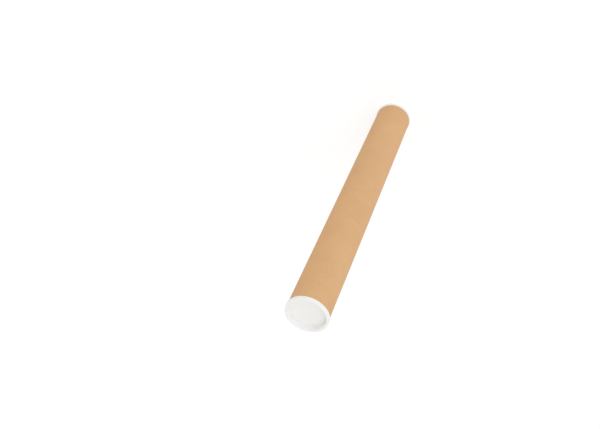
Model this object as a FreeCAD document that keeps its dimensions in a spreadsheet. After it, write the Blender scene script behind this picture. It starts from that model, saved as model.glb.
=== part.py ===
import FreeCAD, Part
import math
import os

import Sketcher

# Cardboard mailing tube, closed at each end by a push-in plastic cap.
#
# All sizes are in millimetres. Z runs along the tube, which stands on its bottom cap, and the
# origin is the centre of that cap's outer face. A cap has a flange that seats on the cut end of
# the board, a slightly tapered plug that enters the bore, and a floor sunk below the flange.

# Driving dimensions, one cell each
SIZES = {
    "TubeLength": 450.0,
    "BoreDiameter": 50.0,
    "BoardWall": 1.5,
    # Cap: how far its flange stands out past the board, on the radius
    "FlangeOverhang": 1.1,
    "FlangeThickness": 4.5,
    # Cap: gap between plug and bore at the flange, and what the plug loses on the way in
    "PlugClearance": 0.05,
    "PlugTaper": 0.4,
    "PlugLength": 11.0,
    "PlugWall": 1.2,
    # Cap: the sunk floor, and the draft of the wall around it
    "RecessDepth": 7.5,
    "RecessDraft": 0.3,
    "FloorThickness": 1.2,
    # Cap: radius on the flange's face, and on the other moulded edges
    "RimRound": 0.9,
    "EdgeRound": 0.3,
}

doc = FreeCAD.newDocument("mailing_tube")


# Sheet of sizes
def make_sheet():
    """One row for each size: its name in column A, its value in column B under that alias."""
    sheet = doc.addObject("Spreadsheet::Sheet", "Sizes")
    for row, (name, value) in enumerate(SIZES.items(), start=1):
        sheet.set(f"A{row}", name)
        sheet.set(f"B{row}", str(value))
        sheet.setAlias(f"B{row}", name)
    doc.recompute()
    return sheet


# Formulas that more than one place uses
BORE_RADIUS = "Sizes.BoreDiameter / 2"
BOARD_RADIUS = f"({BORE_RADIUS} + Sizes.BoardWall)"
FLANGE_RADIUS = f"({BOARD_RADIUS} + Sizes.FlangeOverhang)"
PLUG_RADIUS = f"({BORE_RADIUS} - Sizes.PlugClearance)"
PLUG_TIP_RADIUS = f"({PLUG_RADIUS} - Sizes.PlugTaper)"
CAP_HEIGHT = "(Sizes.FlangeThickness + Sizes.PlugLength)"
FLOOR_BACK = "(Sizes.RecessDepth + Sizes.FloorThickness)"
STANDING_HEIGHT = "Sizes.TubeLength + 2 * Sizes.FlangeThickness"
RIM_ROUND = "min(Sizes.RimRound; Sizes.FlangeThickness / 3)"
EDGE_ROUND = "min(Sizes.EdgeRound; Sizes.PlugWall / 3)"

# Corners of a cap's section, as radius and height over the flange's outer face
CAP_CORNERS = {
    "floor_centre": ("0", "Sizes.RecessDepth"),
    "floor_edge": (f"{PLUG_RADIUS} - Sizes.PlugWall - Sizes.RecessDraft", "Sizes.RecessDepth"),
    "recess_mouth": (f"{PLUG_RADIUS} - Sizes.PlugWall", "0"),
    "flange_face": (FLANGE_RADIUS, "0"),
    "flange_back": (FLANGE_RADIUS, "Sizes.FlangeThickness"),
    "plug_root": (PLUG_RADIUS, "Sizes.FlangeThickness"),
    "plug_tip": (PLUG_TIP_RADIUS, CAP_HEIGHT),
    "skirt_tip": (f"{PLUG_TIP_RADIUS} - Sizes.PlugWall", CAP_HEIGHT),
    "skirt_root": (f"{PLUG_TIP_RADIUS} - Sizes.PlugWall", FLOOR_BACK),
    "floor_back": ("0", FLOOR_BACK),
}


def make_body(label):
    """An empty body that carries its sub-part's name."""
    body = doc.addObject("PartDesign::Body", label)
    body.Label = label
    return body


def new_sketch(body, name, role):
    """A sketch of the body on one of its own origin planes."""
    sketch = body.newObject("Sketcher::SketchObject", name)
    plane = next(item for item in body.Origin.OriginFeatures if item.Role == role)
    sketch.AttachmentSupport = (plane, [""])
    sketch.MapMode = "FlatFace"
    return sketch


def add_circle(sketch, formula):
    """A circle about the sketch's origin, its radius given by a formula of the sheet."""
    circle = sketch.addGeometry(Part.Circle(FreeCAD.Vector(), FreeCAD.Vector(0, 0, 1), 1.0))
    sketch.addConstraint(Sketcher.Constraint("Coincident", circle, 3, -1, 1))
    radius = sketch.addConstraint(Sketcher.Constraint("Radius", circle, 1.0))
    sketch.setExpression(f"Constraints[{radius}]", formula)


def place_corner(sketch, line, kind, axis, formula):
    """Holds a line's first point at a distance from the origin, or on the axis when that is 0."""
    if formula == "0":
        sketch.addConstraint(Sketcher.Constraint("PointOnObject", line, 1, axis))
        return
    start = sketch.Geometry[line].StartPoint
    distance = start.x if kind == "DistanceX" else start.y
    held = sketch.addConstraint(Sketcher.Constraint(kind, -1, 1, line, 1, distance))
    sketch.setExpression(f"Constraints[{held}]", formula)


def draw_outline(sketch, corners):
    """A closed outline of straight lines, drawn roughly and pulled to shape by its constraints."""
    count = len(corners)
    turns = [2 * math.pi * index / count for index in range(count)]
    rough = [FreeCAD.Vector(2 + math.cos(turn), 2 + math.sin(turn), 0) for turn in turns]
    for index in range(count):
        sketch.addGeometry(Part.LineSegment(rough[index], rough[(index + 1) % count]))
    for index in range(count):
        sketch.addConstraint(Sketcher.Constraint("Coincident", index, 2, (index + 1) % count, 1))
    for index, (radius, height) in enumerate(corners.values()):
        place_corner(sketch, index, "DistanceX", -2, radius)
        place_corner(sketch, index, "DistanceY", -1, height)


def ring_edges(shape, sketch, corners, names):
    """Names of the round edges that the named corners of the section sweep out."""
    found = []
    for name in names:
        corner = sketch.Geometry[list(corners).index(name)].StartPoint
        for number, edge in enumerate(shape.Edges, start=1):
            if isinstance(edge.Curve, Part.Circle):
                off = math.hypot(edge.Curve.Radius - corner.x, edge.Curve.Center.z - corner.y)
                if off < 1e-4:
                    found.append(f"Edge{number}")
    return found


def round_corners(body, sketch, corners, names, name, radius):
    """Rounds the edges of the section's named corners."""
    base = body.Tip
    edges = ring_edges(base.Shape, sketch, corners, names)
    if not edges:
        raise RuntimeError(f"{body.Label}: no edge found for {names}")
    fillet = body.newObject("PartDesign::Fillet", name)
    fillet.Base = (base, edges)
    fillet.setExpression("Radius", radius)
    doc.recompute()


# Board tube
def make_tube():
    """The board wall as a ring, padded over the tube's length from the lower flange up."""
    body = make_body("tube")
    ring = new_sketch(body, "tube_ring", "XY_Plane")
    add_circle(ring, BORE_RADIUS)
    add_circle(ring, BOARD_RADIUS)
    wall = body.newObject("PartDesign::Pad", "tube_wall")
    wall.Profile = ring
    wall.setExpression("Length", "Sizes.TubeLength")
    body.setExpression("Placement.Base.z", "Sizes.FlangeThickness")
    doc.recompute()
    return body


# End caps
def make_cap(label):
    """One moulded cap, its flange's face at height 0 and its plug pointing up into the tube."""
    body = make_body(label)
    section = new_sketch(body, f"{label}_section", "XZ_Plane")
    draw_outline(section, CAP_CORNERS)
    moulding = body.newObject("PartDesign::Revolution", f"{label}_moulding")
    moulding.Profile = section
    moulding.ReferenceAxis = (section, ["V_Axis"])
    moulding.Angle = 360
    doc.recompute()
    rim = ["recess_mouth", "flange_face"]
    round_corners(body, section, CAP_CORNERS, rim, f"{label}_rim_round", RIM_ROUND)
    edges = ["floor_edge", "flange_back", "plug_tip", "skirt_tip", "skirt_root"]
    round_corners(body, section, CAP_CORNERS, edges, f"{label}_edge_round", EDGE_ROUND)
    return body


def turn_over(body, height):
    """Turns a cap upside down, with its flange's face at a height given by a formula."""
    upside_down = FreeCAD.Rotation(FreeCAD.Vector(1, 0, 0), 180)
    body.Placement = FreeCAD.Placement(FreeCAD.Vector(), upside_down)
    body.setExpression("Placement.Base.z", height)
    doc.recompute()


def check(bodies):
    """Stops the build if any object failed or a sub-part has no sound shape."""
    for item in doc.Objects:
        if "Invalid" in item.State or "Error" in item.State:
            raise RuntimeError(f"{item.Label} failed: {item.State}")
    for body in bodies:
        if body.Shape.isNull() or not body.Shape.isValid() or len(body.Shape.Solids) != 1:
            raise RuntimeError(f"{body.Label} has no sound solid")


def export(bodies):
    """Writes each sub-part to its own file, named by its label."""
    os.makedirs("parts", exist_ok=True)
    for body in bodies:
        body.Shape.exportStep(f"parts/{body.Label}.step")
        box = body.Shape.BoundBox
        print(f"{body.Label}: {body.Shape.Volume:.1f} mm3, z {box.ZMin:.2f} to {box.ZMax:.2f}")


make_sheet()
tube = make_tube()
bottom_cap = make_cap("bottom_end_cap")
top_cap = make_cap("top_end_cap")
turn_over(top_cap, STANDING_HEIGHT)
check([tube, bottom_cap, top_cap])
export([tube, bottom_cap, top_cap])
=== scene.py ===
# %% [markdown]
# # A cardboard mailing tube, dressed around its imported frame
#
# The real thing is three pieces: a spirally wound board tube and two white push-in caps. The packed
# model already holds their true sizes and the way the caps slide out, so it is loaded first and
# stays as it is. Everything below only gives it looks: a paper face with its seam, a cut edge that
# shows its plies, and soft white plastic. All lengths are in metres, and Z runs up the tube.

import math

import bmesh
import bpy
import numpy as np
from mathutils import Matrix, Vector


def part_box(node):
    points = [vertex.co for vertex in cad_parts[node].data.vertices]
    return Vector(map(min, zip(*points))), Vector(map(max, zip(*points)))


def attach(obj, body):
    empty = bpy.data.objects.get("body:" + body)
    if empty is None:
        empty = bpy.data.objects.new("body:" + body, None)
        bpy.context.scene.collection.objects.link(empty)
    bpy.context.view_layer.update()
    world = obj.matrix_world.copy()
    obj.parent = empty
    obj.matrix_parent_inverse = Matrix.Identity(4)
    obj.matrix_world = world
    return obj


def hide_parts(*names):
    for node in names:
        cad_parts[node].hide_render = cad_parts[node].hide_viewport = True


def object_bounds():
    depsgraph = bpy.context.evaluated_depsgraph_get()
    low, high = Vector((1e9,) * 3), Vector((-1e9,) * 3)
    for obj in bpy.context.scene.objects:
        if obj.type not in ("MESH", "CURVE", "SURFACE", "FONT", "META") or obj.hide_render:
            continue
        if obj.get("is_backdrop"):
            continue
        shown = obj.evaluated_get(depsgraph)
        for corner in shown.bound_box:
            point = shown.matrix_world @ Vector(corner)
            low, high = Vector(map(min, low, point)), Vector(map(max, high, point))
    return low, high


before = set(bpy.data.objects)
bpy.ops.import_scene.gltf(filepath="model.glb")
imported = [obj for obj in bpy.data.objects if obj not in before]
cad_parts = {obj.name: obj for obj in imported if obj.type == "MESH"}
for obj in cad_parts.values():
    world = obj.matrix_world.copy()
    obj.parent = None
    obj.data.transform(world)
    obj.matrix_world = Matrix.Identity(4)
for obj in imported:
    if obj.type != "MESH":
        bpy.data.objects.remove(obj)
cad_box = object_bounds()
MM = 0.001
TURN = 2 * math.pi
print("whole tube, mm:", [round(size / MM, 2) for size in cad_box[1] - cad_box[0]])

# %% [markdown]
# ## Sizes
#
# A piece that stands for a solid must lie exactly where the solid is. The outer sizes are therefore
# read from the frame's boxes, and they follow if the tube is made longer or wider. Only what a box
# can't show, such as the wall or the depth of the recess, is written down here once.

# %% Sizes of the board and of the caps
board_low, board_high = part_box("tube")
cap_low, cap_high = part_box("bottom_end_cap")

BOARD_FOOT = board_low.z
BOARD_TOP = board_high.z
BOARD_RADIUS = board_high.x
BOARD_WALL = 1.5 * MM
BORE_RADIUS = BOARD_RADIUS - BOARD_WALL

STANDING_HEIGHT = cad_box[1].z
FLANGE_RADIUS = cap_high.x
FLANGE_THICKNESS = BOARD_FOOT
CAP_HEIGHT = cap_high.z
PLUG_CLEARANCE = 0.05 * MM
PLUG_TAPER = 0.4 * MM
PLUG_RADIUS = BORE_RADIUS - PLUG_CLEARANCE
PLUG_TIP_RADIUS = PLUG_RADIUS - PLUG_TAPER
PLUG_WALL = 1.2 * MM
RECESS_DEPTH = 7.5 * MM
RECESS_DRAFT = 0.3 * MM
FLOOR_THICKNESS = 1.2 * MM
RIM_ROUND = 0.9 * MM
EDGE_ROUND = 0.3 * MM
print(f"board {2 * BOARD_RADIUS / MM:.1f} mm across, flange {2 * FLANGE_RADIUS / MM:.1f} mm across")

# %% [markdown]
# ## From grids of points to meshes
#
# Every surface here is a grid: one number runs along the rows, another along the columns, and a
# formula turns the pair into a point. Working on whole arrays keeps the formulas short. A small
# class carries one such grid with its faces, its flat map and its finish, and one function sews
# several grids into a closed piece by merging the points that they share.


# %% A grid and its faces
SAME_PLACE = 1e-6
NO_LENGTH = 1e-7
NO_HEIGHT = 1e-9


class Grid:
    """Points in rows and columns. Faces look to the left of the way that the rows go, seen with
    the columns coming closer; flipped faces look the other way."""

    def __init__(self, points, flat, finish=0, flipped=False):
        rows, columns = points.shape[:2]
        self.points = points.reshape(-1, 3)
        self.flat = flat.reshape(-1, 2)
        self.finish = finish
        row, column = np.meshgrid(np.arange(rows - 1), np.arange(columns - 1), indexing="ij")
        first = (row * columns + column).ravel()
        self.faces = np.stack([first, first + 1, first + columns + 1, first + columns], axis=1)
        if flipped:
            self.faces = self.faces[:, ::-1]

    def drop_flat_faces(self):
        """Leaves out the faces whose four corners all lie at one height and one radius."""
        corners = self.points[self.faces]
        height = np.ptp(corners[:, :, 2], axis=1)
        radius = np.ptp(np.hypot(corners[:, :, 0], corners[:, :, 1]), axis=1)
        self.faces = self.faces[(height > NO_HEIGHT) | (radius > NO_HEIGHT)]
        return self


def sew(name, grids, sharp_degrees=35.0, flat_map="flat"):
    """One mesh object from several grids. Points nearer than a micron become one, so that seams
    and poles close, and edges that turn by more than the given angle stay crisp."""
    starts = np.cumsum([0] + [len(grid.points) for grid in grids[:-1]])
    points = np.concatenate([grid.points for grid in grids])
    faces = np.concatenate([grid.faces + start for grid, start in zip(grids, starts)])
    flat = np.concatenate([grid.flat for grid in grids])[faces.ravel()]
    finish = np.concatenate([np.full(len(grid.faces), grid.finish) for grid in grids])
    mesh = bpy.data.meshes.new(name)
    mesh.from_pydata(points, [], faces)
    mesh.polygons.foreach_set("material_index", finish.astype(np.int32))
    mesh.uv_layers.new(name=flat_map).uv.foreach_set("vector", flat.astype(np.float32).ravel())
    shape = bmesh.new()
    shape.from_mesh(mesh)
    bmesh.ops.remove_doubles(shape, verts=shape.verts, dist=SAME_PLACE)
    bmesh.ops.dissolve_degenerate(shape, edges=shape.edges, dist=NO_LENGTH)
    open_edges = sum(not edge.is_manifold for edge in shape.edges)
    shape.to_mesh(mesh)
    shape.free()
    mesh.shade_smooth()
    mesh.set_sharp_from_angle(angle=math.radians(sharp_degrees))
    piece = bpy.data.objects.new(name, mesh)
    bpy.context.scene.collection.objects.link(piece)
    triangles = sum(len(face.vertices) - 2 for face in mesh.polygons)
    print(f"{name}: {len(mesh.vertices)} points, {triangles} triangles, {open_edges} open edges")
    return piece


# %% [markdown]
# ## How the board is wound
#
# The tube is made of long strips of paper board, glued and wound round a mandrel like the stripe of
# a barber's pole. The two edges of the outer strip meet in a seam that runs round the tube, and on
# this one it climbs to the left, 83 mm in each turn. A plain cylinder would lose that seam, and a
# cylinder with evenly fine rows would need a million faces to hold a gap of half a millimetre. So
# the surface is built the way the tube is: one ribbon, a pitch wide, that goes round and round.
# Its rows crowd together at the ribbon's edges, where the gap is, and its flat map is the unrolled
# strip, so the paper's fibres later run along the strip and break at the seam as they really do.

# %% The winding
WIND_PITCH = 83.0 * MM
WIND_ANGLE = math.atan(WIND_PITCH / (TURN * BOARD_RADIUS))
STRIP_WIDTH = WIND_PITCH * math.cos(WIND_ANGLE)
OUTER_SEAM = BOARD_TOP + 0.30 * WIND_PITCH
INNER_SEAM = BOARD_TOP + 0.72 * WIND_PITCH
SEAM_DEPTH, SEAM_REACH = 0.10 * MM, 0.28 * MM
LINING_GAP_DEPTH, LINING_GAP_REACH = 0.16 * MM, 0.45 * MM
CUT_ROUND = 0.15 * MM
COLUMNS = 192
HALF_STRIP_ROWS = 12
OUTER_FINEST, LINING_FINEST = 0.06 * MM, 0.10 * MM
print(f"strip {STRIP_WIDTH / MM:.1f} mm wide, wound at {math.degrees(WIND_ANGLE):.1f} degrees")


def to_seam(angle, height, seam):
    """Distance to the seam along the paper. The seam drops by one pitch in each turn, so the
    height over it is taken modulo the pitch, and the nearer edge of the strip counts."""
    over = np.mod(height - seam + WIND_PITCH * angle / TURN, WIND_PITCH)
    return np.minimum(over, WIND_PITCH - over) * math.cos(WIND_ANGLE)


def bell(offset, reach):
    """1 in the middle, falling to a third at the reach and soon to nothing."""
    return np.exp(-((offset / reach) ** 2))


def outer_radius(angle, height):
    """The board's radius less a shallow, bell-shaped gap along the seam."""
    return BOARD_RADIUS - SEAM_DEPTH * bell(to_seam(angle, height, OUTER_SEAM), SEAM_REACH)


def bore_radius(angle, height):
    """The bore's radius plus the wider gap that the lining's strip leaves."""
    return BORE_RADIUS + LINING_GAP_DEPTH * bell(to_seam(angle, height, INNER_SEAM), LINING_GAP_REACH)


# %% [markdown]
# The ribbon starts above the top and ends below the foot, and whatever lies past a cut end is held
# at the cut. That squeezes the surplus rows onto the end's circle, where sewing merges them, and it
# leaves a clean edge for the cut face. The cut face is a ring across the wall. A saw leaves it a
# little furry, its corners are worn round, and the glue lines between the plies show as fine grooves.


# %% One wound strip
def wound_strip(radius_at, seam, finest, finish, flipped):
    """A ribbon, one pitch high, that drops by a pitch in each turn. Rows are spaced so that each
    step away from the seam is the same multiple of the last. The flat map is the unrolled strip:
    first along it, then across it."""
    half = np.geomspace(finest, WIND_PITCH / 2, HALF_STRIP_ROWS)
    over = np.concatenate([[0.0], half, WIND_PITCH - half[-2::-1], [WIND_PITCH]])
    turns = math.ceil((seam - BOARD_FOOT) / WIND_PITCH) + 1
    angle, over = np.meshgrid(np.arange(turns * COLUMNS + 1) * TURN / COLUMNS, over)
    low, high = BOARD_FOOT + CUT_ROUND, BOARD_TOP - CUT_ROUND
    height = np.clip(seam - WIND_PITCH * angle / TURN + over, low, high)
    radius = radius_at(angle, height)
    points = np.stack([radius * np.cos(angle), radius * np.sin(angle), height], axis=-1)
    around, rise = BOARD_RADIUS * angle, height - seam
    along = around * math.cos(WIND_ANGLE) - rise * math.sin(WIND_ANGLE)
    across = around * math.sin(WIND_ANGLE) + rise * math.cos(WIND_ANGLE)
    flat = np.stack([along, across], axis=-1)
    return Grid(points, flat, finish, flipped).drop_flat_faces()


# %% The cut ends
PLY_LINES = [0.18 * MM, 0.62 * MM, 1.06 * MM]
GLUE_DEPTH, GLUE_REACH = 0.05 * MM, 0.035 * MM
CORNER_STEPS, FACE_STEPS = 6, 30
RIPPLE_HEIGHT = 0.004 * MM
RIPPLE_LEAN = 4000
SINE_WAVES, SLOWEST, FASTEST = 10, 5, 60
fuzz = np.random.default_rng(7)


def cut_face(end, upward):
    """A ring across the wall. Its drop below the cut is a quarter circle at each corner, plus a
    narrow bell at each glue line and a ripple round the ring from a few sine waves."""
    corner = np.linspace(0, CUT_ROUND, CORNER_STEPS)
    middle = np.linspace(CUT_ROUND, BOARD_WALL - CUT_ROUND, FACE_STEPS)
    inset = np.concatenate([corner, middle[1:], BOARD_WALL - corner[-2::-1]])
    near_corner = np.clip(CUT_ROUND - np.minimum(inset, BOARD_WALL - inset), 0, CUT_ROUND)
    drop = CUT_ROUND - np.sqrt(CUT_ROUND**2 - near_corner**2)
    drop += sum(GLUE_DEPTH * bell(inset - line, GLUE_REACH) for line in PLY_LINES)
    angle, inset = np.meshgrid(np.arange(COLUMNS + 1) * TURN / COLUMNS, inset)
    waves = fuzz.integers(SLOWEST, FASTEST, SINE_WAVES)
    phases = fuzz.uniform(0, TURN, SINE_WAVES)
    lean = RIPPLE_LEAN * inset
    ripple = sum(np.sin(wave * angle + phase + lean) for wave, phase in zip(waves, phases))
    inside = np.sin(math.pi * inset / BOARD_WALL) ** 2
    depth = drop[:, None] + RIPPLE_HEIGHT * ripple * inside
    height = end - depth if upward else end + depth
    edge = end - CUT_ROUND if upward else end + CUT_ROUND
    outside, bore = outer_radius(angle, edge), bore_radius(angle, edge)
    radius = outside + (bore - outside) * inset / BOARD_WALL
    points = np.stack([radius * np.cos(angle), radius * np.sin(angle), height], axis=-1)
    flat = np.stack([BOARD_RADIUS * angle, inset], axis=-1)
    return Grid(points, flat, finish=2, flipped=not upward)


# %% Sew the board tube
board = sew(
    "wound_board",
    [
        wound_strip(outer_radius, OUTER_SEAM, OUTER_FINEST, finish=0, flipped=False),
        wound_strip(bore_radius, INNER_SEAM, LINING_FINEST, finish=1, flipped=True),
        cut_face(BOARD_TOP, upward=True),
        cut_face(BOARD_FOOT, upward=False),
    ],
    flat_map="strip",
)
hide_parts("tube")
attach(board, "board_tube")

# %% [markdown]
# ## The end caps
#
# Each cap is one moulding: a flange that seats on the cut board, a plug that enters the bore, and a
# floor sunk below the flange, so that fingers can grip the wall. It is round, so its whole shape is
# one section carried round the axis. The section is given by its corners, and every corner that a
# mould would round gets an arc. A pair of extra points beside each arc keeps the shading of the
# flat faces flat. On the floor, plastic that shrank while it cooled leaves a dish a few hundredths
# of a millimetre deep, and the gate where it flowed in leaves a small ringed nub in the middle.


# %% A section with rounded corners
def rounded_section(corners, steps=8, beside=0.2 * MM):
    """Points along a path with each corner replaced by an arc. The arc's centre lies on the line
    that halves the corner, and it touches both runs at radius times the tangent of half the turn.
    A point is added beside each touch."""
    places = np.array([corner[:2] for corner in corners])
    path = [places[:1]]
    radii = [corner[2] for corner in corners[1:]]
    for before, here, after, radius in zip(places, places[1:], places[2:], radii):
        into = (here - before) / np.linalg.norm(here - before)
        out = (after - here) / np.linalg.norm(after - here)
        side = np.sign(into[0] * out[1] - into[1] * out[0])
        turn = math.acos(np.clip(into @ out, -1, 1))
        reach = radius * math.tan(turn / 2)
        centre = here - into * reach + side * radius * np.array([-into[1], into[0]])
        swing = side * np.linspace(0, turn, steps if radius else 1)
        arm = here - into * reach - centre
        arc_x = centre[0] + arm[0] * np.cos(swing) - arm[1] * np.sin(swing)
        arc_y = centre[1] + arm[0] * np.sin(swing) + arm[1] * np.cos(swing)
        path.append(here - into * (reach + beside))
        path.append(np.stack([arc_x, arc_y], axis=1))
        path.append(here + out * (reach + beside))
    path.append(places[-1:])
    return np.concatenate([np.atleast_2d(part) for part in path])


# %% The cap's section, as radius, height over the flange's face, and rounding
WALL_INSIDE = PLUG_RADIUS - PLUG_WALL
SKIRT_INSIDE = PLUG_TIP_RADIUS - PLUG_WALL
FLOOR_BACK = RECESS_DEPTH + FLOOR_THICKNESS
CAP_SECTION = rounded_section(
    [
        (0.0, RECESS_DEPTH, 0),
        (WALL_INSIDE - RECESS_DRAFT, RECESS_DEPTH, EDGE_ROUND),
        (WALL_INSIDE, 0.0, RIM_ROUND),
        (FLANGE_RADIUS, 0.0, RIM_ROUND),
        (FLANGE_RADIUS, FLANGE_THICKNESS, EDGE_ROUND),
        (PLUG_RADIUS, FLANGE_THICKNESS, 0),
        (PLUG_TIP_RADIUS, CAP_HEIGHT, EDGE_ROUND),
        (SKIRT_INSIDE, CAP_HEIGHT, EDGE_ROUND),
        (SKIRT_INSIDE, FLOOR_BACK, EDGE_ROUND),
        (0.0, FLOOR_BACK, 0),
    ]
)
print(f"cap section: {len(CAP_SECTION)} points")

# %% The floor's dish and gate mark
GATE_RINGS = np.array([0.45, 0.55, 0.7, 0.85, 1.5, 1.7, 1.9, 2.1, 2.6, 6, 12, 18]) * MM
DISH = 0.06 * MM
GATE_NUB, NUB_RADIUS = 0.25 * MM, 0.65 * MM
GATE_SINK, SINK_RADIUS = 0.12 * MM, 1.8 * MM
STEP_REACH = 0.05 * MM


def soft_disc(radius, edge):
    """1 inside the edge and 0 outside, as half less an arctangent over half a turn."""
    return 0.5 - np.arctan((radius - edge) / STEP_REACH) / math.pi


def floor_relief(radius):
    """How much nearer to the flange's face the floor lies at a radius: a nub in the middle, less
    the disc sunk around it and a shallow dish. Both steps have soft feet."""
    gate = GATE_NUB * soft_disc(radius, NUB_RADIUS) - GATE_SINK * soft_disc(radius, SINK_RADIUS)
    return gate - DISH * (1 - (radius / WALL_INSIDE) ** 2)


def cap_grid(upside_down):
    """The section carried round the axis. Turned over about X for the top of the tube, Y changes
    sign and the height is taken from the top, so the faces still look outwards."""
    rings = np.stack([GATE_RINGS, np.full(len(GATE_RINGS), RECESS_DEPTH)], axis=1)
    section = np.concatenate([CAP_SECTION[:1], rings, CAP_SECTION[1:]])
    on_floor = np.arange(len(section)) <= len(GATE_RINGS)
    radius, height = section.T
    height = height - np.where(on_floor, floor_relief(radius), 0)
    along = np.concatenate([[0], np.cumsum(np.hypot(np.diff(radius), np.diff(height)))])
    angle = np.arange(COLUMNS + 1) * TURN / COLUMNS
    side = -1 if upside_down else 1
    rise = STANDING_HEIGHT - height if upside_down else height
    x = radius[:, None] * np.cos(angle)
    y = side * radius[:, None] * np.sin(angle)
    points = np.stack([x, y, np.broadcast_to(rise[:, None], x.shape)], axis=-1)
    flat = np.stack(np.broadcast_arrays(FLANGE_RADIUS * angle, along[:, None]), axis=-1)
    return Grid(points, flat)


# %% Put a cap in each end
CAP_PLACES = (("bottom_end_cap", "bottom_cap", False), ("top_end_cap", "top_cap", True))
caps = []
for node, body, upside_down in CAP_PLACES:
    cap = sew(node.replace("end_cap", "moulding"), [cap_grid(upside_down)])
    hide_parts(node)
    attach(cap, body)
    caps.append(cap)

# %% [markdown]
# ## Tools for the finishes
#
# The finishes are procedural: noise and a little arithmetic stand in for a photograph of paper or
# plastic, so they hold at any distance and carry no picture. Wiring nodes by hand is wordy, so a few
# small helpers add a node, do a sum, mix two colours and make noise. A value that is the same all
# over a surface is written straight onto the shader.


# %% Node helpers
def wire(tree, node, inputs):
    """Gives each input another node's output, or else a plain value."""
    for name, value in inputs.items():
        if isinstance(value, bpy.types.NodeSocket):
            tree.links.new(value, node.inputs[name])
        else:
            node.inputs[name].default_value = value


def add(tree, kind, inputs=None, **settings):
    """A node with its settings and its inputs."""
    node = tree.nodes.new("ShaderNode" + kind)
    for name, value in settings.items():
        setattr(node, name, value)
    wire(tree, node, inputs or {})
    return node


def sums(tree, operation, first, second=0.0, third=0.0):
    """The result of a Math node."""
    return add(tree, "Math", {0: first, 1: second, 2: third}, operation=operation).outputs[0]


def share(tree, value, part):
    """A value times a fixed part."""
    return sums(tree, "MULTIPLY", value, part)


def from_axis(tree, spread):
    """How far a place, split into X, Y and Z, lies from the tube's axis."""
    squares = [sums(tree, "MULTIPLY", spread.outputs[axis], spread.outputs[axis]) for axis in "XY"]
    return sums(tree, "SQRT", sums(tree, "ADD", *squares))


def mixed(tree, factor, first, second):
    """Two colours mixed by a factor."""
    node = add(tree, "Mix", {0: factor, 6: first, 7: second}, data_type="RGBA")
    return node.outputs[2]


def between(tree, value, start, end, low=0.0, high=1.0):
    """A value stretched from one range to another with soft ends, and held at its limits."""
    inputs = {"Value": value, "From Min": start, "From Max": end, "To Min": low, "To Max": high}
    return add(tree, "MapRange", inputs, interpolation_type="SMOOTHSTEP").outputs[0]


def noise(tree, place, scale, detail=2.0, roughness=0.5, stretch=(1, 1, 1), turn=0.0):
    """Cloudy noise, from 0 to 1, with the place stretched and turned about Z first."""
    moved = add(tree, "Mapping", {"Vector": place, "Scale": stretch, "Rotation": (0, 0, turn)})
    inputs = {"Vector": moved.outputs[0], "Scale": scale, "Detail": detail, "Roughness": roughness}
    return add(tree, "TexNoise", inputs).outputs[0]


def new_group(name, inputs, outputs):
    """An empty node group with its named sockets, and its two end nodes."""
    tree = bpy.data.node_groups.new(name, "ShaderNodeTree")
    for label, kind, value in inputs:
        socket = tree.interface.new_socket(label, in_out="INPUT", socket_type=kind)
        if value is not None:
            socket.default_value = value
    for label, kind in outputs:
        tree.interface.new_socket(label, in_out="OUTPUT", socket_type=kind)
    return tree, tree.nodes.new("NodeGroupInput"), tree.nodes.new("NodeGroupOutput")


# %% [markdown]
# Paper is a mat of fibres. Seen close, fine threads lie mostly along the strip, because the paper
# machine drags them that way. From further off the mat looks cloudy, and here and there a dark fleck
# of bark got in. The face, the lining and the cut edge all show the same three things in different
# measure, so they are one node group. Ridges come from folding noise about its middle: where it
# crosses one half there is a thin bright line, and stretched noise makes that line a thread.

# %% Group: paper fibre
FLOAT, VECTOR = "NodeSocketFloat", "NodeSocketVector"
THREAD_STRETCH = (500, 3600, 3600)
RIDGE_HALF = 0.055
LENGTHWISE_TURN, CROSSWISE_TURN, STEEP_TURN = 0.12, -0.7, 0.95
CROSSWISE_SHARE, STEEP_SHARE = 0.8, 0.6
WIDE_CLOUDS, WIDE_SHARE = 28, 0.6
FINE_CLOUDS, FINE_SHARE = 190, 0.4
FLECKS, FLECK_STRETCH = 1500, (0.5, 1, 1)
FLECK_FROM, FLECK_FULL = 0.74, 0.80
fibre_tree, given, result = new_group(
    "paper_fibre",
    [("Place", VECTOR, None), ("Cloud Size", FLOAT, 1.0)],
    [("Fibre", FLOAT), ("Cloud", FLOAT), ("Fleck", FLOAT)],
)


def threads(tree, place, turn):
    """Thin bright ridges, a millimetre or two long, that run at an angle to the strip."""
    cloud = noise(tree, place, 1.0, detail=2.5, stretch=THREAD_STRETCH, turn=turn)
    fold = sums(tree, "ABSOLUTE", sums(tree, "SUBTRACT", cloud, 0.5))
    return between(tree, fold, RIDGE_HALF, 0.0)


place = given.outputs["Place"]
lengthwise = threads(fibre_tree, place, LENGTHWISE_TURN)
crosswise = share(fibre_tree, threads(fibre_tree, place, CROSSWISE_TURN), CROSSWISE_SHARE)
steep = share(fibre_tree, threads(fibre_tree, place, STEEP_TURN), STEEP_SHARE)
strongest = sums(fibre_tree, "MAXIMUM", lengthwise, crosswise)
fibre_tree.links.new(sums(fibre_tree, "MAXIMUM", strongest, steep), result.inputs["Fibre"])

closer = sums(fibre_tree, "DIVIDE", 1.0, given.outputs["Cloud Size"])
sized = add(fibre_tree, "VectorMath", {0: place, "Scale": closer}, operation="SCALE").outputs[0]
wide = share(fibre_tree, noise(fibre_tree, sized, WIDE_CLOUDS, detail=1.5), WIDE_SHARE)
fine = share(fibre_tree, noise(fibre_tree, sized, FINE_CLOUDS, detail=3, roughness=0.6), FINE_SHARE)
cloud = sums(fibre_tree, "ADD", wide, fine)
fibre_tree.links.new(between(fibre_tree, cloud, 0.3, 0.7), result.inputs["Cloud"])

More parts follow.
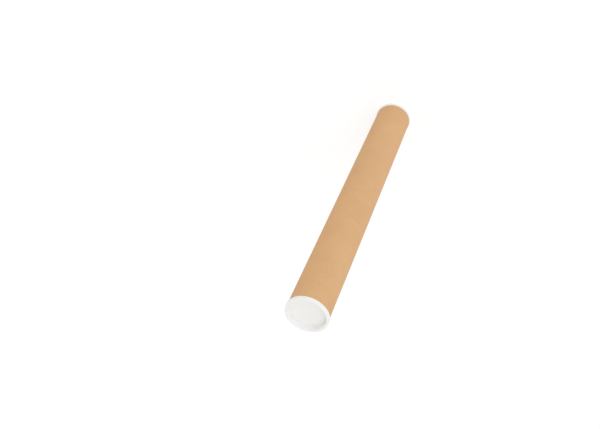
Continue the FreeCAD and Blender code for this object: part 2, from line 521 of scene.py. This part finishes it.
specks = noise(fibre_tree, place, FLECKS, detail=1, stretch=FLECK_STRETCH)
fibre_tree.links.new(between(fibre_tree, specks, FLECK_FROM, FLECK_FULL), result.inputs["Fleck"])
print("paper_fibre:", len(fibre_tree.nodes), "nodes")

# %% [markdown]
# Handling leaves its own marks on paper and on plastic alike: long faint rubs, which polish the
# paper a little and dull the plastic. They are noise, stretched along one way and cut off so that
# only its peaks are left. One group makes them, and each finish decides how much they show.

# %% Group: rubbing marks
LONG_RUBS, LONG_TURN = (70, 900, 300), 0.5
CROSSED_RUBS, CROSSED_TURN = (650, 60, 240), -0.3
FEWEST_RUBS, RUB_RANGE, RUB_SOFTNESS = 0.85, 0.3, 0.12
rub_tree, given, result = new_group(
    "rubbing_marks", [("Place", VECTOR, None), ("Density", FLOAT, 0.5)], [("Rub", FLOAT)]
)
place = given.outputs["Place"]
streaks = noise(rub_tree, place, 1.0, detail=4, stretch=LONG_RUBS, turn=LONG_TURN)
crossed = noise(rub_tree, place, 1.0, detail=4, stretch=CROSSED_RUBS, turn=CROSSED_TURN)
peaks = sums(rub_tree, "MAXIMUM", streaks, crossed)
start = sums(rub_tree, "SUBTRACT", FEWEST_RUBS, share(rub_tree, given.outputs["Density"], RUB_RANGE))
end = sums(rub_tree, "ADD", start, RUB_SOFTNESS)
rub_tree.links.new(between(rub_tree, peaks, start, end), result.inputs["Rub"])
print("rubbing_marks:", len(rub_tree.nodes), "nodes")


# %% A material to start from
def new_material(name, colour, roughness, **shader_values):
    """A material with its Principled shader, whose uniform values are set on its own sockets. The
    colour is what shows in the viewport, and what the nodes vary from."""
    material = bpy.data.materials.new(name)
    material.use_nodes = True
    material.diffuse_color = (*colour, 1)
    shader = material.node_tree.nodes["Principled BSDF"]
    shader.inputs["Base Color"].default_value = (*colour, 1)
    shader.inputs["Roughness"].default_value = roughness
    for label, value in shader_values.items():
        shader.inputs[label.replace("_", " ")].default_value = value
    return material, material.node_tree, shader


def shade(colour, factor):
    """A colour made lighter or darker, with its alpha."""
    return (*[min(1.0, channel * factor) for channel in colour], 1)


def use_group(tree, group, inputs):
    """A copy of a node group, placed in a material's tree."""
    node = tree.nodes.new("ShaderNodeGroup")
    node.node_tree = group
    wire(tree, node, inputs)
    return node.outputs


def bumped(tree, shader, height, distance):
    """Wires a height through a Bump node into the shader's Normal."""
    node = add(tree, "Bump", {"Height": height, "Distance": distance, "Strength": 1.0})
    tree.links.new(node.outputs[0], shader.inputs["Normal"])


# %% [markdown]
# ## Kraft face
#
# The outer strip is plain brown kraft paper: matt, warm, and almost even in tone. Three slight
# changes keep it from looking painted: the cloudiness of the mat, lighter threads, and a few flecks.
# The strip's own edges were slit, which leaves pale torn fibre, so the seam reads as a thin light
# line. At the two cut ends the face is rubbed a little paler as well. All of this follows the
# unrolled strip, apart from the wear at the ends, which follows the height.

# %% Kraft face
KRAFT = (0.72, 0.422, 0.201)
PALE_THREAD = (0.80, 0.55, 0.33, 1)
TORN_FIBRE = (0.82, 0.62, 0.43, 1)
RUBBED_PALE = (0.80, 0.58, 0.38, 1)
THREAD_SHARE, FLECK_SHARE, TORN_SHARE, WORN_SHARE = 0.22, 0.55, 0.25, 0.35
TORN_FROM, TORN_FULL = 0.55 * MM, 0.1 * MM
RAGGED, WORN_FROM, WORN_FULL = 1.2 * MM, 1.6 * MM, 0.4 * MM
MATT, RUBBED_SMOOTHER = 0.90, 0.12
kraft, tree, shader = new_material("kraft_face", KRAFT, 0.88, Specular_IOR_Level=0.25, Sheen_Weight=0.04)
strip = add(tree, "UVMap", uv_map="strip").outputs[0]
where = add(tree, "TexCoord").outputs["Object"]
across = add(tree, "SeparateXYZ", {0: strip}).outputs["Y"]
height = add(tree, "SeparateXYZ", {0: where}).outputs["Z"]
paper = use_group(tree, fibre_tree, {"Place": strip, "Cloud Size": 1.0})
rubs = use_group(tree, rub_tree, {"Place": strip, "Density": 0.45})

tone = mixed(tree, paper["Cloud"], shade(KRAFT, 0.965), shade(KRAFT, 1.035))
tone = mixed(tree, share(tree, paper["Fibre"], THREAD_SHARE), tone, PALE_THREAD)
tone = mixed(tree, share(tree, paper["Fleck"], FLECK_SHARE), tone, shade(KRAFT, 0.55))

to_edge = sums(tree, "PINGPONG", across, STRIP_WIDTH / 2)
torn = share(tree, between(tree, to_edge, TORN_FROM, TORN_FULL), TORN_SHARE)
tone = mixed(tree, torn, tone, TORN_FIBRE)

to_foot = sums(tree, "SUBTRACT", height, BOARD_FOOT)
to_top = sums(tree, "SUBTRACT", BOARD_TOP, height)
to_cut = sums(tree, "MINIMUM", to_foot, to_top)
ragged = sums(tree, "ADD", to_cut, share(tree, paper["Cloud"], RAGGED))
worn = share(tree, between(tree, ragged, WORN_FROM, WORN_FULL), WORN_SHARE)
tone = mixed(tree, worn, tone, RUBBED_PALE)
tree.links.new(tone, shader.inputs["Base Color"])

smoothed = share(tree, rubs["Rub"], RUBBED_SMOOTHER)
tree.links.new(sums(tree, "SUBTRACT", MATT, smoothed), shader.inputs["Roughness"])

# %% Kraft face: relief
# The gaps of the strips beneath press through the face as two low swells across each strip.
UNDER_GAPS = [0.36 * STRIP_WIDTH, 0.70 * STRIP_WIDTH]
SWELL_REACH, SWELL_SHARE = 1.6 * MM, 0.8
THREAD_HEIGHT, CLOUD_HEIGHT = 0.7, 0.5
FACE_RELIEF = 0.02 * MM
swell = 0.0
within = sums(tree, "WRAP", across, STRIP_WIDTH, 0.0)
for gap in UNDER_GAPS:
    off = sums(tree, "ABSOLUTE", sums(tree, "SUBTRACT", within, gap))
    swell = sums(tree, "ADD", swell, between(tree, off, SWELL_REACH, 0.0, 0.0, SWELL_SHARE))
raised = share(tree, paper["Fibre"], THREAD_HEIGHT)
mat = sums(tree, "ADD", raised, share(tree, paper["Cloud"], CLOUD_HEIGHT))
bumped(tree, shader, sums(tree, "ADD", mat, swell), FACE_RELIEF)
print("kraft_face:", len(tree.nodes), "nodes")

# %% [markdown]
# ## Lining and cut edge
#
# Inside, the tube is lined with a greyer recycled board that has wider clouds and darker flecks.
# The cut edge shows all the plies end on. It is paler than the face because the fibres are torn, and
# the glue between the plies is darker. The distance from the axis tells which ply a point is in, so
# this finish needs only Object coordinates.

# %% Lining
LINING = (0.56, 0.40, 0.25)
LINING_CLOUD_SIZE = 1.6
GAP_FROM, GAP_FULL, GAP_SHARE = 0.7 * MM, 0.2 * MM, 0.5
LINING_RELIEF = 0.03 * MM
lining, tree, shader = new_material("board_lining", LINING, 0.93)
strip = add(tree, "UVMap", uv_map="strip").outputs[0]
across = add(tree, "SeparateXYZ", {0: strip}).outputs["Y"]
paper = use_group(tree, fibre_tree, {"Place": strip, "Cloud Size": LINING_CLOUD_SIZE})
tone = mixed(tree, paper["Cloud"], shade(LINING, 0.90), shade(LINING, 1.08))
tone = mixed(tree, share(tree, paper["Fibre"], 0.3), tone, shade(LINING, 1.25))
tone = mixed(tree, share(tree, paper["Fleck"], 0.8), tone, shade(LINING, 0.45))
to_edge = sums(tree, "PINGPONG", across, STRIP_WIDTH / 2)
in_gap = between(tree, to_edge, GAP_FROM, GAP_FULL)
tone = mixed(tree, share(tree, in_gap, GAP_SHARE), tone, shade(LINING, 0.62))
tree.links.new(tone, shader.inputs["Base Color"])
tree.links.new(between(tree, paper["Cloud"], 0, 1, 0.88, 0.96), shader.inputs["Roughness"])
bumped(tree, shader, sums(tree, "ADD", paper["Fibre"], paper["Cloud"]), LINING_RELIEF)
print("board_lining:", len(tree.nodes), "nodes")

# %% Cut edge
CUT = (0.66, 0.47, 0.29)
CUT_CLOUD_SIZE = 0.4
PLY_BLEND = 0.02 * MM
GLUE_FROM, GLUE_FULL, GLUE_SHARE = 0.055 * MM, 0.01 * MM, 0.7
CUT_RELIEF = 0.05 * MM
cut, tree, shader = new_material("board_cut_edge", CUT, 0.95)
where = add(tree, "TexCoord").outputs["Object"]
paper = use_group(tree, fibre_tree, {"Place": where, "Cloud Size": CUT_CLOUD_SIZE})
inset = sums(tree, "SUBTRACT", BOARD_RADIUS, from_axis(tree, add(tree, "SeparateXYZ", {0: where})))
tone = mixed(tree, paper["Cloud"], shade(CUT, 0.86), shade(CUT, 1.10))
face_ply = between(tree, inset, PLY_LINES[0] + PLY_BLEND, PLY_LINES[0] - PLY_BLEND)
tone = mixed(tree, face_ply, tone, shade(KRAFT, 0.95))
for line in PLY_LINES:
    off = sums(tree, "ABSOLUTE", sums(tree, "SUBTRACT", inset, line))
    glue = between(tree, off, GLUE_FROM, GLUE_FULL, 0, GLUE_SHARE)
    tone = mixed(tree, glue, tone, shade(CUT, 0.5))
tone = mixed(tree, share(tree, paper["Fibre"], 0.35), tone, shade(CUT, 1.3))
tree.links.new(tone, shader.inputs["Base Color"])
tree.links.new(between(tree, paper["Fibre"], 0, 1, 0.96, 0.88), shader.inputs["Roughness"])
bumped(tree, shader, sums(tree, "ADD", paper["Fibre"], paper["Fleck"]), CUT_RELIEF)
print("board_cut_edge:", len(tree.nodes), "nodes")

for material in (kraft, lining, cut):
    board.data.materials.append(material)

# %% [markdown]
# ## White plastic
#
# The caps are polyethylene: white, slightly waxy, and a little translucent where it is thin, which
# is why their corners look soft. Some light is let into the surface for that. The mould was turned
# on a lathe, so its floor carries very fine rings, and its faces have a slight orange peel. Rubs and
# fingerprints change the gloss rather than the colour. Deep in the recess, by the wall, the white is
# darkened and warmed: partly the brown board behind the thin wall, partly painted shade in the corner.

# %% White plastic
WHITE = (0.93, 0.915, 0.89)
SHADED_WARM_WHITE, BOARD_AND_SHADE_SHARE = (0.80, 0.74, 0.66, 1), 0.12
SHADE_BAND = 3.0 * MM
WHITE_CLOUDS, PRINTS, PEEL = 60, 130, 900
GLOSSIEST, DULLEST, RUB_DULLING = 0.36, 0.48, 0.14
plastic, tree, shader = new_material(
    "white_plastic",
    WHITE,
    0.42,
    Subsurface_Weight=0.15,
    Subsurface_Radius=(1.0, 0.95, 0.85),
    Subsurface_Scale=1.0 * MM,
    IOR=1.5,
)
where = add(tree, "TexCoord").outputs["Object"]
spread = add(tree, "SeparateXYZ", {0: where})
radius = from_axis(tree, spread)
height = spread.outputs["Z"]
from_face = sums(tree, "MINIMUM", height, sums(tree, "SUBTRACT", STANDING_HEIGHT, height))

clouds = noise(tree, where, WHITE_CLOUDS, detail=3)
tone = mixed(tree, clouds, shade(WHITE, 0.985), shade(WHITE, 1.01))
# Painted shade: deep in the recess and near its wall the white is mixed toward a darker warm white. Part
# of this is the board behind the wall, part is the corner's shade painted in.
behind_board = between(tree, from_face, FLANGE_THICKNESS, RECESS_DEPTH)
near_wall = between(tree, radius, WALL_INSIDE - SHADE_BAND, WALL_INSIDE)
board_and_shade = share(tree, sums(tree, "MULTIPLY", behind_board, near_wall), BOARD_AND_SHADE_SHARE)
tone = mixed(tree, board_and_shade, tone, SHADED_WARM_WHITE)
tree.links.new(tone, shader.inputs["Base Color"])

rubs = use_group(tree, rub_tree, {"Place": where, "Density": 0.6})
prints = noise(tree, where, PRINTS, detail=2, roughness=0.6)
satin = between(tree, prints, 0.35, 0.65, GLOSSIEST, DULLEST)
dulled = share(tree, rubs["Rub"], RUB_DULLING)
tree.links.new(sums(tree, "ADD", satin, dulled), shader.inputs["Roughness"])

RING_SPACING, RING_SHARE = 0.35 * MM, 0.25
PLASTIC_RELIEF = 0.006 * MM
rings = sums(tree, "SINE", share(tree, radius, TURN / RING_SPACING))
peel = noise(tree, where, PEEL, detail=1.5)
bumped(tree, shader, sums(tree, "ADD", share(tree, rings, RING_SHARE), peel), PLASTIC_RELIEF)
for cap in caps:
    cap.data.materials.append(plastic)
print("white_plastic:", len(tree.nodes), "nodes")

# %% [markdown]
# ## Camera
#
# In the photograph the tube lies along the line of sight: its capped near end is at the lower left
# and the rest runs away to the upper right. Here it stands on its foot, so the same view is from
# above, with the camera rolled. Rather than guess angles, the camera is placed backwards: the top
# end's place and the axis are known as the lens sees them (right, down and ahead), and turning that
# frame until the axis points down gives the camera's own place and turn.

# %% Camera
LENS = 45.2 * MM
SENSOR = 36.0 * MM
NEAREST_SEEN = 10 * MM
TOP_END_SEEN = np.array([8.98, 116.19, 887.09]) * MM
AXIS_SEEN = np.array([0.31375, -0.59868, 0.73699])


def turned_upright(axis):
    """Rows are the world's X, Y and Z as the lens sees them: Z against the axis, X across it."""
    up = -axis / np.linalg.norm(axis)
    x = np.array([1.0, 0.0, 0.0]) - up * up[0]
    x /= np.linalg.norm(x)
    return np.array([x, np.cross(up, x), up])


to_world = turned_upright(AXIS_SEEN)
camera_matrix = np.eye(4)
camera_matrix[:3, :3] = to_world @ np.diag([1.0, -1.0, -1.0])
camera_matrix[:3, 3] = to_world @ -TOP_END_SEEN + [0, 0, BOARD_TOP]
lens = bpy.data.cameras.new("photo_view")
lens.sensor_width = SENSOR / MM
lens.lens = LENS / MM
lens.clip_start = NEAREST_SEEN
camera = bpy.data.objects.new("photo_view", lens)
camera.matrix_world = Matrix(camera_matrix.tolist())
bpy.context.scene.collection.objects.link(camera)
bpy.context.scene.camera = camera
print("camera at", [round(x, 3) for x in camera.location])

# %% [markdown]
# ## Light and floor
#
# The photograph was lit evenly from all round, with one side a little brighter and with warm
# shadows. The world does most of that: it is slightly warm, and a little stronger on the bright
# side. A weak, very broad sun near the lens adds a cooler light, so that what it can't reach looks
# warm while the rest comes out about as its colours are written. The floor is white. To the camera
# it also glows, enough to reach the white of the page, while the part of it that stays ordinary
# paint keeps the soft shadow at the tube's foot.

# %% World and sun
def lens_sees(tree):
    """1 for rays from the lens, also by way of a gloss or through glass, and 0 for all others."""
    rays = add(tree, "LightPath")
    seen = sums(tree, "MAXIMUM", rays.outputs["Is Camera Ray"], rays.outputs["Is Glossy Ray"])
    return sums(tree, "MAXIMUM", seen, rays.outputs["Is Transmission Ray"])


WORLD_LIGHT = 0.86
WORLD_SLOPE = 0.15
WORLD_TINT = (1.0, 0.96, 0.91, 1)
BRIGHT_SIDE_SEEN = np.array([0.91, -0.02, -0.41])
SUN_SEEN = np.array([0.23, 0.10, -0.96])
SUN_STRENGTH = 0.50
SUN_COLOUR = (0.70, 1.0, 1.35)
SUN_BREADTH = math.radians(40)

world = bpy.data.worlds.new("even_light")
world.use_nodes = True
tree = world.node_tree
backdrop = tree.nodes["Background"]
seen = lens_sees(tree)
direction = add(tree, "TexCoord").outputs["Generated"]
bright_side = to_world @ BRIGHT_SIDE_SEEN
towards = add(tree, "VectorMath", {0: direction, 1: bright_side}, operation="DOT_PRODUCT")
lamp = sums(tree, "MULTIPLY_ADD", towards.outputs["Value"], WORLD_SLOPE * WORLD_LIGHT, WORLD_LIGHT)
strength = add(tree, "Mix", {0: seen, 2: lamp, 3: 1.0}).outputs[0]
tree.links.new(strength, backdrop.inputs["Strength"])
tree.links.new(mixed(tree, seen, WORLD_TINT, (1, 1, 1, 1)), backdrop.inputs["Color"])
bpy.context.scene.world = world

sun_light = bpy.data.lights.new("broad_sun", "SUN")
sun_light.energy = SUN_STRENGTH
sun_light.color = SUN_COLOUR
sun_light.angle = SUN_BREADTH
sun = bpy.data.objects.new("broad_sun", sun_light)
sun.rotation_euler = Vector(to_world @ SUN_SEEN).to_track_quat("Z", "Y").to_euler()
bpy.context.scene.collection.objects.link(sun)
print("sun from", [round(x, 2) for x in to_world @ SUN_SEEN])

# %% Floor
FLOOR_REACH = 30.0
FLOOR_PAINT = (0.9, 0.9, 0.9, 1)
FLOOR_SEEN = (0.5, 0.5, 0.5, 1)
FLOOR_GLOW = 0.57
reach = np.linspace(-FLOOR_REACH, FLOOR_REACH, 3)
floor_x, floor_y = np.meshgrid(reach, reach)
floor_points = np.stack([floor_x, floor_y, np.zeros_like(floor_x)], axis=-1)
floor = sew("white_floor", [Grid(floor_points, floor_points[:, :, :2])])
floor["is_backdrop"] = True

paint = bpy.data.materials.new("floor_paint")
paint.use_nodes = True
tree = paint.node_tree
tree.nodes.clear()
plain = add(tree, "BsdfDiffuse", {"Color": FLOOR_PAINT})
dimmed = add(tree, "BsdfDiffuse", {"Color": FLOOR_SEEN})
glow = add(tree, "Emission", {"Strength": FLOOR_GLOW})
lit = add(tree, "AddShader", {0: dimmed.outputs[0], 1: glow.outputs[0]})
both = add(tree, "MixShader", {0: lens_sees(tree), 1: plain.outputs[0], 2: lit.outputs[0]})
add(tree, "OutputMaterial", {"Surface": both.outputs[0]})
floor.data.materials.append(paint)

# %% View settings, sizes and the end
bpy.context.scene.view_settings.view_transform = "Standard"
boxes = {"cad": cad_box, "visual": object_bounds()}
for name, box in boxes.items():
    print(name, "box, mm:", [[round(x / MM, 2) for x in corner] for corner in box])
